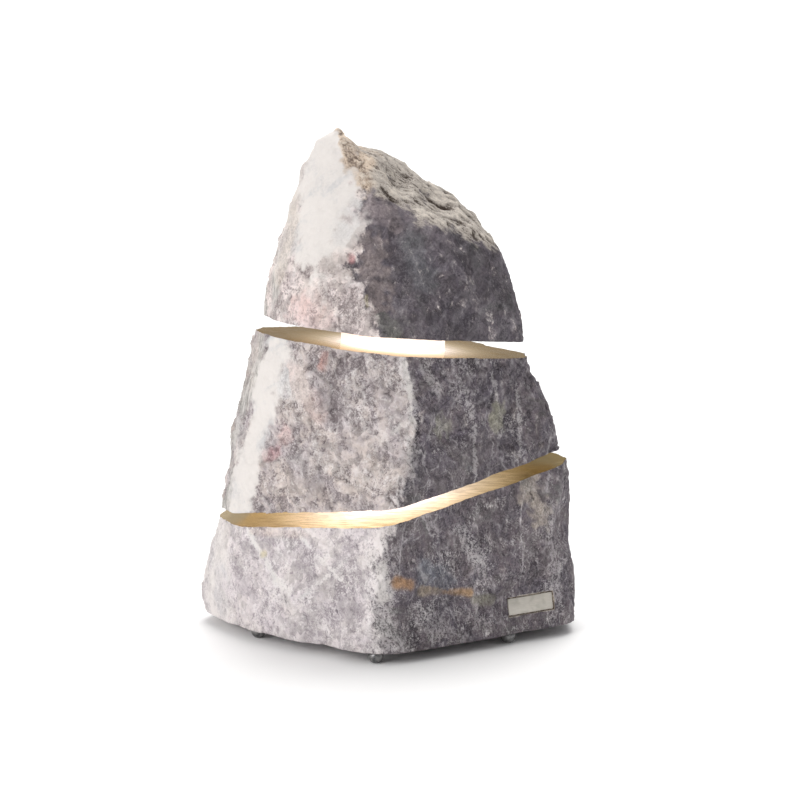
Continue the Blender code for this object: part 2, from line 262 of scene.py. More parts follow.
def withVeins(tree, rock, where, look, n, pale):
    # healed cracks: long wisps that run steeply, and a fine web in some places
    bent = rippled(tree, where, 18.0, 6.0, look["veinBend"])
    broken = remap(tree, addShare(tree, n["grain"], 0.6, times(tree, n["lumps"], 0.4)), 0.38, 0.56)
    broken = times(tree, broken, remap(tree, n["patches"], 0.40, 0.58, 0.25, 1.0))
    veins = None
    for kind, size, stretch, turn, width, low, strength in veinFamilies:
        run = stretched(tree, bent, (size, size, size * stretch), turn)
        if kind == "web":
            cells = {"Vector": run, "Scale": 1.0}
            cells = addNode(tree, "ShaderNodeTexVoronoi", cells, feature="DISTANCE_TO_EDGE")
            away = cells.outputs["Distance"]
        else:
            away = calc(tree, "ABSOLUTE", calc(tree, "SUBTRACT", grainNoise(tree, run, 1.0, 1, 0.4), 0.5))
        line = remap(tree, away, 0.0, width, 1.0, 0.0)
        there = remap(tree, grainNoise(tree, run, 0.75, 3, 0.5), low, low + 0.14)
        line = times(tree, times(tree, line, there), strength)
        veins = line if veins is None else calc(tree, "MAXIMUM", veins, line)
    amount = remap(tree, pale, 0.0, 1.0, look["veinAmount"], look["veinAmount"] * 0.7)
    veins = times(tree, times(tree, veins, broken), amount)
    return mixColours(tree, veins, rock, mixColours(tree, pale, look["vein"], look["snow"]))


def withFlank(tree, rock, where, look, n, flankZone):
    # weathered left flank with long grey-green streaks
    streaks = stretched(tree, where, (300.0, 300.0, 38.0), (0.0, -12.0, 0.0))
    streaks = remap(tree, grainNoise(tree, streaks, 1.0, 6, 0.75), 0.40, 0.60)
    flank = mixColours(tree, streaks, look["flankLow"], look["flankHigh"])
    edge = swayed(tree, swayed(tree, flankZone, 1.2, n["grain"]), 1.2, n["patches"])
    edge = times(tree, edge, remap(tree, flankZone, 0.0, 0.25, 0.0, look["flank"]))
    return mixColours(tree, remap(tree, edge, 0.12, 0.9, 0.0, 0.78), rock, flank)


def withWhite(tree, rock, look, n, whiteZone):
    # crystalline white, nearly polished
    edge = swayed(tree, swayed(tree, whiteZone, 0.5, n["lumps"]), 0.5, n["fine"])
    edge = swayed(tree, edge, 0.8, n["patches"])
    haze = remap(tree, addShare(tree, n["grain"], 0.25, times(tree, n["clouds"], 0.75)), 0.36, 0.50)
    white = mixColours(tree, haze, look["whiteShade"], look["white"])
    return mixColours(tree, remap(tree, edge, 0.05, 1.0, 0.0, 0.95), rock, white)


def withStains(tree, rock, n, tint):
    stain = addShare(tree, n["lumps"], 0.5, times(tree, n["grain"], 0.5))
    stain = times(tree, tint.outputs["Alpha"], remap(tree, stain, 0.42, 0.55, 0.8, 1.0))
    stain = times(tree, stain, remap(tree, n["patches"], 0.42, 0.56, 0.6, 1.0))
    shade = mixColours(tree, remap(tree, n["speckle"], 0.42, 0.58), (0.72,) * 3, (1.2,) * 3)
    return mixColours(tree, stain, rock, mixColours(tree, 1.0, tint.outputs["Color"], shade, "MULTIPLY"))


def withCrust(tree, rock, where, look, n, crustZone, relief, warm, ridgeZone):
    # weathered, fibrous crust on the slanting top, with brown streaks along its ridge
    furrows = stretched(tree, where, (75.0, 330.0, 330.0), (0.0, -38.0, -6.0))
    furrows = grainNoise(tree, furrows, 1.0, 7, 0.78, 0.4)
    shade = addShare(tree, furrows, 0.5, times(tree, n["grain"], 0.25))
    # painted shade and painted highlight: with the chipped height the crust darkens in its low slots and
    # lightens on its raised parts, over its own fibrous streaks
    shade = swayed(tree, addShare(tree, n["fine"], 0.25, shade), 0.22, relief)
    warmth = remap(tree, calc(tree, "ADD", warm, calc(tree, "SUBTRACT", n["clouds"], 0.5)), 0.25, 0.75)
    crust = mixColours(tree, warmth, look["crustGrey"], look["crust"])
    crust = mixColours(tree, remap(tree, shade, 0.38, 0.50, 0.95, 0.0), crust, look["crustDeep"])
    crust = mixColours(tree, remap(tree, shade, 0.50, 0.58, 0.0, 0.8), crust, look["crustLight"])
    ridge = addShare(tree, furrows, 0.5, times(tree, n["grain"], 0.5))
    ridge = times(tree, ridgeZone, remap(tree, ridge, 0.45, 0.55, 1.0, 0.1))
    crust = mixColours(tree, ridge, crust, look["ridge"])
    edge = swayed(tree, swayed(tree, crustZone, 1.6, furrows), 0.8, n["lumps"])
    crusted = times(tree, remap(tree, edge, 0.14, 0.86), remap(tree, crustZone, 0.0, 0.15))
    return mixColours(tree, crusted, rock, crust)


def marbleMaterial(name, changes):
    look = {**marble, **changes}
    made, tree, shader, where = newMaterial(name)
    layers = ("zones", "relief", "tint")
    zones, reliefs, tint = [addNode(tree, "ShaderNodeAttribute", attribute_name=layer) for layer in layers]
    zone, relief = [
        addNode(tree, "ShaderNodeSeparateColor", {"Color": layer.outputs["Color"]}).outputs
        for layer in (zones, reliefs)]
    paleZone, crustZone, whiteZone = zone[0], zone[1], zone[2]
    height, warm, seam = relief[0], relief[1], relief[2]
    n = marbleNoises(tree, where, look)
    rock, pale = paleAndDark(tree, where, look, n, paleZone)
    rock = withGrainsAndHollowShade(tree, rock, look, n, pale, height)
    rock = withSnow(tree, rock, look, n, pale, seam)
    rock = withVeins(tree, rock, where, look, n, pale)
    rock = withFlank(tree, rock, where, look, n, zones.outputs["Alpha"])
    rock = withWhite(tree, rock, look, n, whiteZone)
    rock = withStains(tree, rock, n, tint)
    rock = withCrust(tree, rock, where, look, n, crustZone, height, warm, reliefs.outputs["Alpha"])
    rock = mixColours(tree, 1.0, rock, (look["tone"],) * 3, "MULTIPLY")
    tree.links.new(rock, shader.inputs["Base Color"])
    tree.links.new(remap(tree, n["speckle"], 0.40, 0.60, *look["gloss"]), shader.inputs["Roughness"])
    shader.inputs["Specular IOR Level"].default_value = look["specular"]
    rough = addShare(tree, n["fine"], 0.35, times(tree, n["grain"], 0.5))
    rough = addShare(tree, n["strokes"], 0.5, rough)
    rough = addShare(tree, n["lumps"], 0.6, rough)
    rough = times(tree, rough, addShare(tree, whiteZone, -look["polish"], 1.0))
    bumpInto(tree, shader, rough, look["bumpStrength"], look["bumpDepth"])
    return made


bottomMarble = marbleMaterial("bottom_marble_snowy", {
    "pale": (0.54, 0.49, 0.51), "paleWarm": (0.61, 0.56, 0.55), "paleDeep": (0.30, 0.262, 0.285),
    "dark": (0.109, 0.094, 0.115), "darkWarm": (0.138, 0.112, 0.122), "darkCool": (0.118, 0.120, 0.119),
    "veinAmount": 1.0, "flank": 0.35, "fields": 0.22})
middleMarble = marbleMaterial("middle_marble_chipped", {
    "dark": (0.102, 0.087, 0.108), "darkWarm": (0.126, 0.103, 0.112), "darkCool": (0.113, 0.113, 0.108),
    "snowAmount": 0.6, "darkSnow": 0.62, "veinAmount": 1.0, "crystals": 0.4})
topMarble = marbleMaterial("top_marble_pink", {
    "pale": (0.58, 0.50, 0.495), "paleWarm": (0.66, 0.585, 0.555), "paleDeep": (0.20, 0.165, 0.165),
    "dark": (0.074, 0.063, 0.079), "darkWarm": (0.088, 0.073, 0.083), "darkDeep": (0.040, 0.033, 0.040),
    "darkCool": (0.078, 0.084, 0.084), "vein": (0.25, 0.23, 0.25), "streaks": 0.36, "crystals": 0.35,
    "snowAmount": 0.45, "darkSnow": 0.17, "darkContrast": 0.6, "veinAmount": 0.85, "fields": 0.30})


# gold leaf on the sawn faces; thin: the painted glow dimmed between these two places, from and to these
# shares
goldLeaf = {
    "lower": {
        "bright": (0.62, 0.525, 0.395), "deep": (0.20, 0.135, 0.045), "worn": (0.13, 0.10, 0.06),
        "tint": (1.0, 0.84, 0.55), "metallic": 0.74, "shadeSweep": 1.0, "paintedSpill": 0.95, "spillFade": 1.8,
        "hueFade": 1.5, "lean": 1.0, "thin": (0.104, 0.136, 1.0, 0.3)},
    # the upper leaf's colours are set far darker than the lower's: painted shade for its dimmer gap
    "upper": {
        "bright": (0.23, 0.15, 0.072), "deep": (0.14, 0.088, 0.038), "worn": (0.08, 0.06, 0.035),
        "tint": (0.85, 0.64, 0.36), "metallic": 0.86, "shadeSweep": 0.5, "paintedSpill": 0.94, "spillFade": 4.8,
        "hueFade": 3.0, "lean": 0.0, "thin": (0.060, 0.110, 1.0, 0.8)},
    "brushAngle": 38.0, "coreCentre": (0.0035, -0.038, 0.0), "coreRadius": 45 * mm, "spillReach": 150 * mm,
    "spillNear": (1.0, 0.905, 0.86), "spillFar": (1.0, 0.74, 0.33), "gloss": (0.10, 0.26),
    "strokeBump": 0.22, "strokeDepth": 0.25 * mm,
}


def goldMaterial(name, shades, look):
    made, tree, shader, where = newMaterial(name)
    strokes = stretched(tree, where, (45.0, 300.0, 45.0), (0.0, 0.0, look["brushAngle"]))
    strokes = grainNoise(tree, strokes, 1.0, 5, 0.65)
    patches = grainNoise(tree, where, 38, 5, 0.6, 0.5)
    flecks = grainNoise(tree, where, 260, 4, 0.7)
    across = addNode(tree, "ShaderNodeSeparateXYZ", {"Vector": where}).outputs[0]
    leaf = addShare(tree, strokes, 0.6, times(tree, patches, 0.4))
    leaf = addShare(tree, across, -shades["shadeSweep"], leaf)  # painted shade: the leaf's colour darkens towards the right end
    gold = mixColours(tree, remap(tree, leaf, 0.38, 0.62), shades["deep"], shades["bright"])
    gold = mixColours(tree, remap(tree, flecks, 0.62, 0.72), gold, shades["worn"])
    tree.links.new(gold, shader.inputs["Base Color"])
    shader.inputs["Metallic"].default_value = shades["metallic"]
    shader.inputs["Specular Tint"].default_value = (*shades["tint"], 1.0)
    tree.links.new(remap(tree, strokes, 0.3, 0.7, *look["gloss"]), shader.inputs["Roughness"])

    # painted glow: the leaf emits light of its own, standing in for the core's light spilling over it; it
    # dies away over the leaf and turns from cream to amber
    flat = vectorCalc(tree, "SUBTRACT", where, Vector(look["coreCentre"]) + datum)
    flat = vectorCalc(tree, "MULTIPLY", flat, (1.0, 1.0, 0.0))
    away = addNode(tree, "ShaderNodeVectorMath", {0: flat}, operation="LENGTH").outputs["Value"]
    width = look["spillReach"] - look["coreRadius"]
    near = calc(tree, "MULTIPLY_ADD", away, -1.0 / width, look["spillReach"] / width, clamp=True)
    leant = addShare(tree, across, -shades["lean"], 1.0)
    hue = calc(tree, "MULTIPLY", calc(tree, "POWER", near, shades["hueFade"]), leant, clamp=True)
    glow = mixColours(tree, hue, look["spillFar"], look["spillNear"])
    shine = mixColours(tree, remap(tree, strokes, 0.36, 0.6), (0.72,) * 3, (1.1,) * 3)
    tree.links.new(mixColours(tree, 1.0, glow, shine, "MULTIPLY"), shader.inputs["Emission Color"])
    paintedSpill = times(tree, calc(tree, "POWER", near, shades["spillFade"]), shades["paintedSpill"])
    paintedSpill = times(tree, paintedSpill, times(tree, leant, remap(tree, across, *shades["thin"])))
    tree.links.new(paintedSpill, shader.inputs["Emission Strength"])
    height = calc(tree, "ADD", strokes, times(tree, flecks, 0.5))
    bumpInto(tree, shader, height, look["strokeBump"], look["strokeDepth"])
    return made


lowerGold = goldMaterial("gold_leaf_lower", goldLeaf["lower"], goldLeaf)
upperGold = goldMaterial("gold_leaf_upper", goldLeaf["upper"], goldLeaf)
print("marble and gold leaf ready")


def smoothStep(low, high, value):
    t = max(0.0, min(1.0, (value - low) / (high - low)))
    return t * t * (3.0 - 2.0 * t)


def wander(p, size, seed):
    return noise.noise(p / size + Vector((seed, seed * 1.7, seed * 0.6)))


def mark(start, end, reach, amount, ragged=0.35, colour=None):
    # a soft spot, or a streak from one point to another, in millimetres from the datum
    return {
        "from": start, "to": end or start, "reach": reach, "amount": amount, "ragged": ragged,
        "colour": colour}


def markAway(p, spot):
    # distance from the middle of a mark, as a share of its reach
    start, end = Vector(spot["from"]) * mm, Vector(spot["to"]) * mm
    along = end - start
    t = 0.0
    if along.length >= 1e-6:
        t = max(0.0, min(1.0, (p - start).dot(along) / along.length_squared))
    return (p - start - along * t).length / (spot["reach"] * mm)


def markAmount(p, spot):
    # how strongly a mark shows at p: full inside, fading to its reach
    away = markAway(p, spot)
    if away > 1.5:
        return 0.0
    away += spot["ragged"] * wander(p, 0.006, 4.0) + 0.3 * wander(p, 0.022, 8.0)
    return spot["amount"] * smoothStep(1.0, 0.35, away)


def strongest(p, marks):
    return max([markAmount(p, spot) for spot in marks], default=0.0)


def facets(p, size, seed):
    # flat broken chips: each cell is a small tilted plane with a step at its rim
    q = p / size + Vector((seed, seed, seed))
    centre = noise.voronoi(q)[1][0]
    tilt = noise.cell_vector(centre * 37.0) - Vector((0.5, 0.5, 0.5))
    return (q - centre).dot(tilt) * 1.6 + tilt.z * 0.7


def chipped(p, look):
    # height of the broken surface over the plain block, in millimetres
    size, depth = look["chipSize"], look["chipDepth"]
    warped = p + Vector([wander(p, 0.014, seed) for seed in (1.0, 2.0, 3.0)]) * 0.005
    drifted = p + Vector((wander(p, 0.03, 11.0), 0.0, wander(p, 0.03, 12.0))) * 0.008
    broad = facets(drifted, size * 2.3, 6.0)
    large = facets(warped, size, 3.0) * depth + broad * depth * 1.1
    small = facets(warped, size * 0.42, 8.0) * depth * 0.6
    pits = max(0.0, wander(p, 0.004, 2.2) - 0.28) * 3.2 + max(0.0, wander(p, 0.008, 6.2) - 0.3) * 3.0
    return large + small - pits + noise.fractal(p / 0.0055, 0.8, 2.1, 3) * look["lumps"]


def crusty(p):
    # fibrous ridges, broken sheets and open slots that run down the slanting top
    along, across = Vector((0.78, -0.10, -0.62)), Vector((0.18, -0.92, 0.35))
    u, w = p.dot(along), p.dot(across)
    ridges = noise.fractal(Vector((u / 0.022, w / 0.006, p.z / 0.05)), 0.75, 2.1, 4) * 1.1
    sheets = facets(Vector((u * 0.32, w, 0.4 * p.z)), 0.0075, 5.0) * 1.5
    slots = smoothStep(0.22, 0.48, noise.noise(Vector((u / 0.021, w / 0.0048, 4.0))))
    slots += smoothStep(0.30, 0.55, noise.noise(Vector((u / 0.011, w / 0.0030, 9.0)))) * 0.6
    return ridges + sheets - slots * 3.0 * smoothStep(0.415, 0.395, p.z)


def lineAt(line, z):
    # x of a border line at height z, both in millimetres
    for (z0, x0), (z1, x1) in zip(line, line[1:]):
        if z <= z1:
            return x0 + (x1 - x0) * max(0.0, (z - z0) / (z1 - z0))
    return line[-1][1]


def cadMesh(name):
    bm = bmesh.new()
    bm.from_mesh(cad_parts[name].data)
    bmesh.ops.remove_doubles(bm, verts=bm.verts[:], dist=weldDistance)
    return bm


def plateTurn(look):
    return Euler([math.radians(a) for a in (-look["lean"], -look["roll"], look["yaw"])]).to_matrix()


def fillPocket(bm, look):
    # lifts the floor of the plate's seat level with the stone, so that it can be cut again, sharp
    turned = plateTurn(look)
    at = Vector(look["at"]) + datum
    floor = look["depth"] + look["seatGap"]
    for v in bm.verts:
        seen = turned.transposed() @ (v.co - at)
        if abs(seen.y - floor) < 0.1 * mm and abs(seen.x) < 30 * mm and abs(seen.z) < 15 * mm:
            v.co = turned @ Vector((seen.x, -look["sunk"], seen.z)) + at


def asMesh(bm, name):
    mesh = bpy.data.meshes.new(name)
    bm.to_mesh(mesh)
    bm.free()
    return mesh


def evaluated(obj):
    graph = bpy.context.evaluated_depsgraph_get()
    return bpy.data.meshes.new_from_object(obj.evaluated_get(graph))


def refined(mesh, grain, passes):
    # an even, fine skin over the coarse block, with its flat facets eased away
    helper = addToScene("refining", mesh)
    even = helper.modifiers.new("even", "REMESH")
    even.mode = "VOXEL"
    even.voxel_size = grain
    ease = helper.modifiers.new("ease", "SMOOTH")
    ease.factor = 0.5
    ease.iterations = passes
    result = evaluated(helper)
    bpy.data.objects.remove(helper)
    bpy.data.meshes.remove(mesh)
    return result


def crustAt(p, n, look, x, z, off):
    # the crust lies on what faces up, over its lower border and right of the white
    steep = 0.34 - 0.16 * smoothStep(395.0, 420.0, z)
    lie = n.z + 0.24 * wander(p, 0.02, 7.0) + 0.12 * wander(p, 0.007, 3.0)
    crust = smoothStep(steep - 0.06, steep + 0.24, lie)
    crust = max(crust, smoothStep(400.0, 412.0, z)) * smoothStep(-4.0, 2.0, off)
    if p.y < 0.0:
        above = z - lineAt(look["crust"], x) + 12.0 * wander(p, 0.016, 7.0) + 5.0 * wander(p, 0.006, 2.0)
        crust *= smoothStep(-11.0, 9.0, above)
    return crust


def zonesAt(p, n, look):
    # pale, crust, white and flank shares at one point of the eased block
    x, z = p.x / mm, p.z / mm
    off = x - lineAt(look["border"], z) + 9.0 * wander(p, 0.016, 5.0) + 4.5 * wander(p, 0.006, 6.0)
    behind = smoothStep(0.0, 0.06, p.y)
    off += (look["borderDrift"] * (1.0 - behind) + 34.0 * behind) * wander(p, 0.05, 9.0)
    off += 26.0 * behind * wander(p, 0.023, 4.0)
    soft = look["borderSoft"] * (1.0 + 1.6 * behind)
    # right of the border the rock turns dark: partly its own colour, partly painted shade
    pale = smoothStep(soft, -soft, off)
    crust = crustAt(p, n, look, x, z, off) if look["crust"] else 0.0
    white = strongest(p, look["whiteBands"])
    flank = smoothStep(-0.70, -0.98, n.x + 0.24 * wander(p, 0.022, 6.0)) * smoothStep(0.35, 0.1, n.z)
    return pale, crust, white * (1.0 - crust), flank


def paintAndChip(bm, look):
    layers = bm.verts.layers.float_color
    zoneLayer, reliefLayer, tintLayer = [layers.new(name) for name in ("zones", "relief", "tint")]
    bm.normal_update()
    moves = []
    for v in bm.verts:
        p, n = v.co - datum, v.normal.copy()
        pale, crust, white, flank = zonesAt(p, n, look)
        v[zoneLayer] = (pale, crust, white, flank)
        spot = min(look["tints"], key=lambda near: markAway(p, near))
        v[tintLayer] = (*spot["colour"], markAmount(p, spot))
        # the white band is nearly smooth; the flank, the dark rock and the crust chip less
        rough = chipped(p, look) * (1.0 - 0.78 * white) * (1.0 - 0.6 * flank)
        rough = rough * (0.6 + 0.4 * pale) * (1.0 - 0.75 * crust)
        if crust > 0.01:
            rough += crusty(p) * crust
        height = max(0.0, min(1.0, 0.5 + rough * 0.22))
        warm = smoothStep(0.012, -0.05, p.x + 0.02 * wander(p, 0.02, 3.0))
        v[reliefLayer] = (height, warm, strongest(p, look["snowBands"]), strongest(p, look["ridgeLines"]))
        moves.append((v, n * rough * mm))
    for v, move in moves:
        v.co += move


def sawOff(bm, cut, side, keepAbove, slot):
    at, normal = facePlane(cut, side)
    made = bmesh.ops.bisect_plane(
        bm, geom=bm.verts[:] + bm.edges[:] + bm.faces[:], dist=weldDistance, plane_co=at,
        plane_no=normal, clear_outer=not keepAbove, clear_inner=keepAbove)
    rim = [e for e in made["geom_cut"] if isinstance(e, bmesh.types.BMEdge)]
    filled = bmesh.ops.holes_fill(bm, edges=rim, sides=0)["faces"]
    for face in filled:
        face.material_index = slot
        face.smooth = False
    bmesh.ops.triangulate(bm, faces=filled)


def lengthened(bm, cuts, overcut):
    # moves the sawn faces outwards, so that easing doesn't round the rims of the later cuts
    for cut, side, keepAbove, _ in cuts:
        at, normal = facePlane(cut, side)
        for v in bm.verts:
            if abs((v.co - at).dot(normal)) < 0.05 * mm:
                v.co += normal * (-1 if keepAbove else 1) * overcut


def buildStone(look):
    bm = cadMesh(look["node"])
    lengthened(bm, look["cuts"], look["overcut"])
    if look["plate"]:
        fillPocket(bm, look["plate"])
    mesh = refined(asMesh(bm, look["name"]), look["grain"], look["easing"])
    mesh.materials.clear()
    for material in look["materials"]:
        mesh.materials.append(material)
    bm = bmesh.new()
    bm.from_mesh(mesh)
    paintAndChip(bm, look)
    for face in bm.faces:
        face.smooth = True
    for cut, side, keepAbove, slot in look["cuts"]:
        sawOff(bm, cut, side, keepAbove, slot)
    bmesh.ops.recalc_face_normals(bm, faces=bm.faces[:])
    if bm.calc_volume(signed=True) < 0:
        bmesh.ops.reverse_faces(bm, faces=bm.faces[:])
    bm.to_mesh(mesh)
    bm.free()
    stone = addToScene(look["name"], mesh)
    standsFor(stone, look["node"])
    print(look["name"], "made:", len(mesh.polygons), "faces")
    return stone


plate = {
    "width": 45.5 * mm, "height": 14.5 * mm, "depth": 1.2 * mm, "at": (0.1238, -0.0508, 0.0333),
    "yaw": 30.0, "lean": 8.0, "roll": 1.8, "margin": 1.0 * mm, "cornerRadius": 0.8 * mm,
    "edgeRadius": 0.18 * mm, "seatGap": 0.3 * mm, "sunk": 0.9 * mm, "cutterReach": 24 * mm,
    "metal": (0.42, 0.395, 0.35), "metalWorn": (0.58, 0.55, 0.50), "metalLines": (0.36, 0.33, 0.28),
    "metallic": 0.55, "gloss": (0.38, 0.55), "lineBump": 0.25, "lineDepth": 0.05 * mm,
}

bottomStone = {
    "name": "bottomStone", "node": "bottom_stone", "slot": "bottom_marble",
    "cuts": [(underside, 0, True, 0), (lowerCut, 0, False, 1)], "materials": (bottomMarble, lowerGold),
    "overcut": 5 * mm, "grain": 1.5 * mm, "easing": 14, "plate": plate,
    "chipSize": 0.016, "chipDepth": 1.6, "lumps": 0.8, "crust": None, "ridgeLines": [],
    "borderDrift": 10.0, "borderSoft": 13.0,
    "border": [(10, -15), (52, -17), (72, -12), (94, -10), (118, 2), (150, 8)],
    "whiteBands": [
        mark((-157, 0, 76), (-150, -14, 25), 38, 0.55),
        mark((-122, -51, 96), (-99, -74, 60), 4.5, 0.7, 0.7),
        mark((-99, -74, 60), (-85, -86, 54), 6, 0.6, 0.7),
        mark((-77, -84, 102), (-42, -116, 70), 2.8, 0.55, 0.7),
        mark((-42, -116, 70), (-14, -132, 58), 2.8, 0.5, 0.7),
        mark((-37, -118, 87), (-77, -94, 47), 2.6, 0.5, 0.7),
        mark((-6, -137, 88), (-4, -138, 56), 7, 0.5, 0.9),
        mark((22, -123, 88), (32, -118, 70), 4, 0.5, 0.9),
    ],
    "snowBands": [
        mark((-122, -51, 96), (-99, -74, 60), 6, 1.0),
        mark((-99, -74, 60), (-85, -86, 54), 8, 0.9),
        mark((-96, -77, 46), (-40, -112, 40), 11, 0.45),
        mark((-77, -84, 102), (-42, -116, 70), 3.5, 0.9),
        mark((-37, -118, 87), (-77, -94, 47), 3.5, 0.7),
        mark((-8, -139, 96), (-4, -138, 22), 20, 0.7),
        mark((144, -36, 116), (146, -38, 40), 13, 0.5),
        mark((60, -96, 110), (84, -78, 62), 10, 0.55),
        mark((-60, -102, 28), (40, -116, 20), 11, 0.5),
        mark((20, -128, 44), (60, -104, 16), 13, 0.4),
        mark((70, -95, 36), (84, -86, 18), 9, 0.4),
    ],
    "tints": [
        mark((7, -135, 72), (18, -129, 69), 7.5, 0.85, 0.12, (0.42, 0.24, 0.12)),
        mark((28, -121, 61), (46, -109, 58), 6, 0.6, 0.12, (0.42, 0.34, 0.24)),
        mark((46, -109, 58), (70, -92, 53), 5.5, 0.8, 0.12, (0.46, 0.29, 0.15)),
        mark((74, -88, 46), (90, -80, 44), 7, 0.5, 0.2, (0.30, 0.29, 0.21)),
        mark((30, -117, 78), (50, -104, 66), 15, 0.55, 0.35, (0.16, 0.18, 0.22)),
        mark((122, -48, 138), (136, -42, 110), 15, 0.6, 0.8, (0.52, 0.45, 0.38)),
        mark((123, -48, 132), (126, -47, 126), 6.5, 0.9, 0.6, (0.075, 0.055, 0.05)),
        mark((130, -42, 131), (134, -40, 123), 6, 0.9, 0.6, (0.06, 0.045, 0.045)),
        mark((-109, -61, 80), None, 5, 0.6, 0.35, (0.50, 0.42, 0.20)),
        mark((-118, -52, 99), (-70, -94, 104), 6, 0.25, 0.15, (0.60, 0.44, 0.32)),
    ],
}

middleStone = {
    "name": "middleStone", "node": "middle_stone", "slot": "middle_marble",
    "cuts": [(lowerCut, 1, True, 1), (upperCut, 0, False, 2)],
    "materials": (middleMarble, lowerGold, upperGold),
    "overcut": 5 * mm, "grain": 1.4 * mm, "easing": 14, "plate": None,
    "chipSize": 0.015, "chipDepth": 2.7, "lumps": 1.0, "crust": None, "ridgeLines": [],
    "borderDrift": 5.0, "borderSoft": 8.0,
    "border": [(112, 4), (134, 7), (153, 9), (172, 20), (222, 19), (242, 13), (270, 9)],
    "whiteBands": [
        mark((-96, -58, 266), (-108, -56, 218), 25, 1.0),
        mark((-108, -56, 218), (-132, -46, 118), 21, 1.0),
        mark((-118, -30, 180), (-128, 10, 150), 30, 0.45),
        mark((-76, -82, 225), (-92, -72, 250), 16, 0.6),
        mark((13, -107, 256), (18, -112, 236), 2.8, 0.55, 1.1),
        mark((18, -112, 236), (19, -117, 208), 3.6, 0.75, 1.1),
        mark((19, -117, 208), (4, -120, 198), 3.0, 0.5, 1.1),
    ],
    "snowBands": [
        mark((12, -109, 262), (20, -116, 222), 8, 1.0),
        mark((20, -116, 222), (20, -122, 172), 9, 0.8),
        mark((20, -122, 172), (6, -127, 134), 9, 0.5),
        mark((66, -85, 228), (74, -81, 196), 4, 0.7),
        mark((74, -81, 196), (73, -84, 150), 3.2, 1.0),
        mark((112, -49, 222), (114, -52, 166), 3.2, 0.8),
        mark((88, -68, 240), (97, -62, 188), 3.0, 0.7),
        mark((30, -103, 250), (42, -100, 230), 7, 0.7),
        mark((-70, -84, 170), (-10, -118, 158), 18, 0.45),
        mark((-30, -102, 240), (-10, -112, 190), 14, 0.4),
    ],
    "tints": [
        mark((-56, -88, 258), (-57, -88, 250), 6.5, 0.6, 0.35, (0.45, 0.22, 0.18)),
        mark((-106, -62, 167), (-95, -69, 173), 8, 0.42, 0.35, (0.52, 0.24, 0.26)),
        mark((-91, -72, 186), None, 13, 0.45, 0.35, (0.70, 0.48, 0.46)),
        mark((-84, -74, 240), (-60, -92, 210), 14, 0.35, 0.35, (0.70, 0.52, 0.48)),
        mark((42, -100, 199), (47, -97, 196), 11, 0.65, 0.8, (0.38, 0.365, 0.30)),
        mark((93, -67, 208), (94, -67, 194), 10, 0.6, 0.8, (0.33, 0.32, 0.24)),
        mark((69, -87, 162), None, 11, 0.4, 0.35, (0.24, 0.25, 0.27)),
        mark((42, -104, 164), (84, -76, 172), 26, 0.3, 0.35, (0.225, 0.20, 0.21)),
        mark((22, -121, 172), (22, -120, 142), 17, 0.45, 0.35, (0.085, 0.078, 0.086)),
        mark((-88, -72, 240), (-89, -72, 226), 11, 0.4, 0.35, (0.58, 0.585, 0.60)),
    ],
}

topStone = {
    "name": "topStone", "node": "top_stone", "slot": "top_marble",
    "cuts": [(upperCut, 1, True, 1)], "materials": (topMarble, upperGold),
    "overcut": 5 * mm, "grain": 1.25 * mm, "easing": 14, "plate": None,
    "chipSize": 0.015, "chipDepth": 1.6, "lumps": 0.8,
    "borderDrift": 0.0, "borderSoft": 7.5,
    "border": [
        (262, -12), (282, -13), (301, -15), (321, -23), (333, -33), (350, -29), (364, -23), (395, -21),
        (405, -25), (418, -33), (433, -39), (450, -46)],
    "crust": [
        (-40, 410), (-20, 398), (-6, 392), (11, 384), (22, 374), (39, 365), (57, 359), (74, 350),
        (90, 343), (120, 335)],
    "ridgeLines": [
        mark((-38, -26, 436), (-22, -42, 405), 8, 0.85, 0.6),
        mark((-22, -42, 405), (-12, -54, 390), 10, 0.55, 0.7),
    ],
    "whiteBands": [
        mark((-48, -20, 440), (-60, -55, 372), 48, 1.0),
        mark((-45, -55, 395), (-66, -62, 348), 32, 1.0),
        mark((-62, -8, 425), (-92, -30, 350), 34, 0.6),
    ],
    "snowBands": [
        mark((-92, -45, 292), (-76, -68, 284), 13, 0.6),
        mark((-30, -84, 330), (-16, -96, 296), 10, 0.6),
        mark((-4, -98, 288), (6, -99, 276), 8, 0.6),
        mark((96, -52, 300), (104, -40, 276), 12, 0.5),
        mark((60, -70, 276), (20, -92, 276), 7, 0.4),
    ],
    "tints": [
        mark((-80, -68, 299), (-62, -80, 290), 18, 0.5, 0.35, (0.74, 0.50, 0.46)),
        mark((-54, -84, 287), None, 12, 0.35, 0.35, (0.70, 0.47, 0.44)),
        mark((-31, -72, 340), None, 7, 0.8, 0.35, (0.52, 0.26, 0.26)),
        mark((-12, -92, 306), (-18, -72, 352), 19, 0.6, 0.9, (0.275, 0.225, 0.215)),
        mark((-18, -64, 384), (2, -62, 376), 19, 0.6, 0.7, (0.30, 0.25, 0.255)),
        mark((12, -58, 377), (50, -62, 354), 13, 0.45, 0.7, (0.215, 0.180, 0.205)),
        mark((-84, -24, 380), (-98, -40, 320), 14, 0.5, 0.35, (0.60, 0.525, 0.455)),
        mark((-27, -60, 385), (-40, -60, 360), 13, 0.4, 0.35, (0.46, 0.455, 0.47)),
        mark((-19, -91, 311), (-18, -92, 302), 5, 0.55, 0.35, (0.47, 0.41, 0.22)),
        mark((-6, -98, 292), (4, -96, 278), 11, 0.6, 0.35, (0.17, 0.17, 0.15)),
        mark((-33, -34, 421), (-22, -42, 405), 10, 0.65, 0.8, (0.46, 0.34, 0.23)),
        mark((-30, -36, 426), (-17, -46, 402), 4, 0.8, 0.9, (0.16, 0.12, 0.10)),
        mark((20, -66, 350), (28, -74, 320), 16, 0.4, 0.35, (0.13, 0.14, 0.15)),
    ],
}

stones = [buildStone(look) for look in (bottomStone, middleStone, topStone)]


